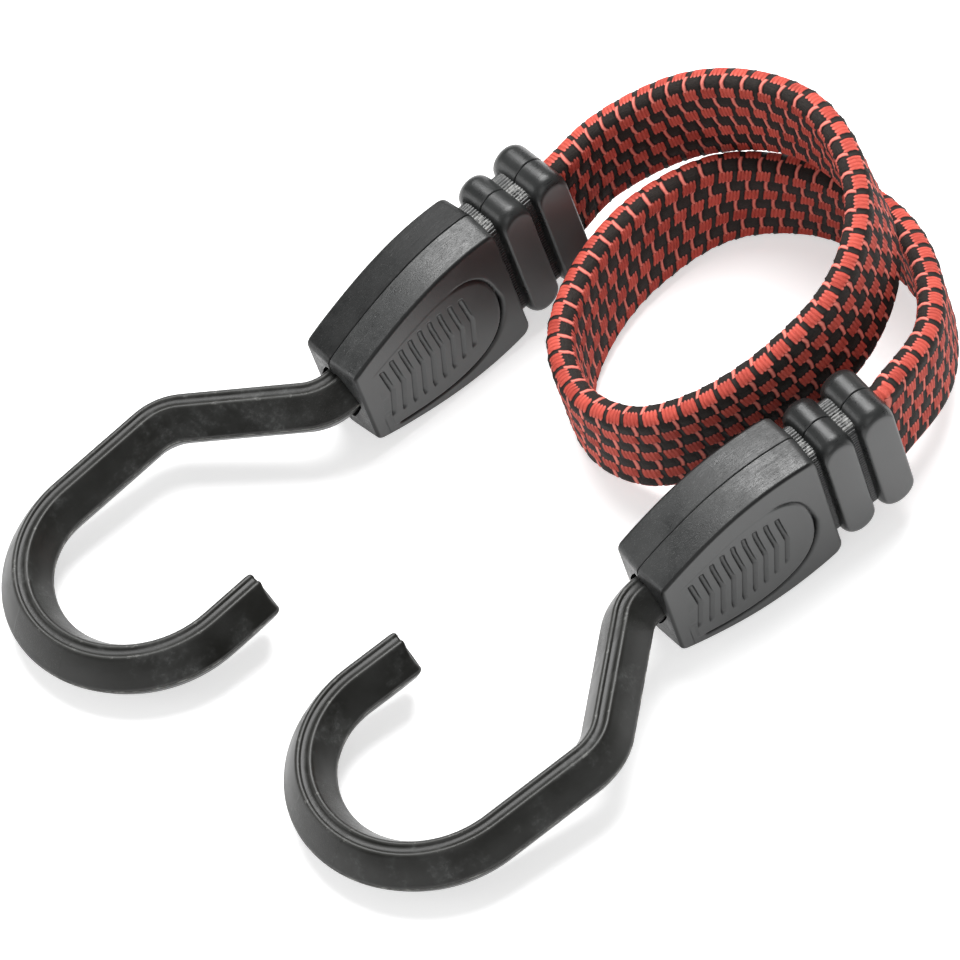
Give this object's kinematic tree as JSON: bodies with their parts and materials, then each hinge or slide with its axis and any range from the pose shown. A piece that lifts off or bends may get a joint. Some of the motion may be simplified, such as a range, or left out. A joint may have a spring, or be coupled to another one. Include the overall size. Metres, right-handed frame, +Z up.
{
  "type": "bungee cord",
  "caption": "Flat elastic luggage strap with a woven cover, lying in an open loop, and a moulded plastic hook in a gripped housing at each end.",
  "frame": {"origin": "on the ground plane under the middle of the two fittings' bounding box; the strap is left out of it", "axes": "+Z up from the surface it lies on; both hooks point along -X and the strap loops round on the +X side; +Y is the side of the left fitting, away from the viewer"},
  "size_m": [0.1609, 0.113, 0.0422],
  "materials": {
    "hook_plastic": "satin black moulded plastic with fine drag lines",
    "housing_plastic": "satin black moulded plastic, lightly scuffed, grained on the narrow faces",
    "collar_plastic": "satin black moulded plastic, glossy on the crowns of the ribs, knurled necks",
    "woven_cover": "tight flat weave of red and black yarns",
    "rubber_strand": "matt natural latex",
    "steel": "plain zinc plated steel"
  },
  "bodies": {
    "root": {"left_hook": "hook_plastic", "left_hook_pin": "steel", "left_housing_near": "housing_plastic", "left_housing_far": "housing_plastic", "left_collar_near": "collar_plastic", "left_collar_far": "collar_plastic", "left_strap_clamp": "steel", "right_hook": "hook_plastic", "right_hook_pin": "steel", "right_housing_near": "housing_plastic", "right_housing_far": "housing_plastic", "right_collar_near": "collar_plastic", "right_collar_far": "collar_plastic", "right_strap_clamp": "steel", "strap_cover": "woven_cover", "strap_strand_1": "rubber_strand", "strap_strand_2": "rubber_strand", "strap_strand_3": "rubber_strand", "strap_strand_4": "rubber_strand", "strap_strand_5": "rubber_strand"}
  },
  "joints": []
}
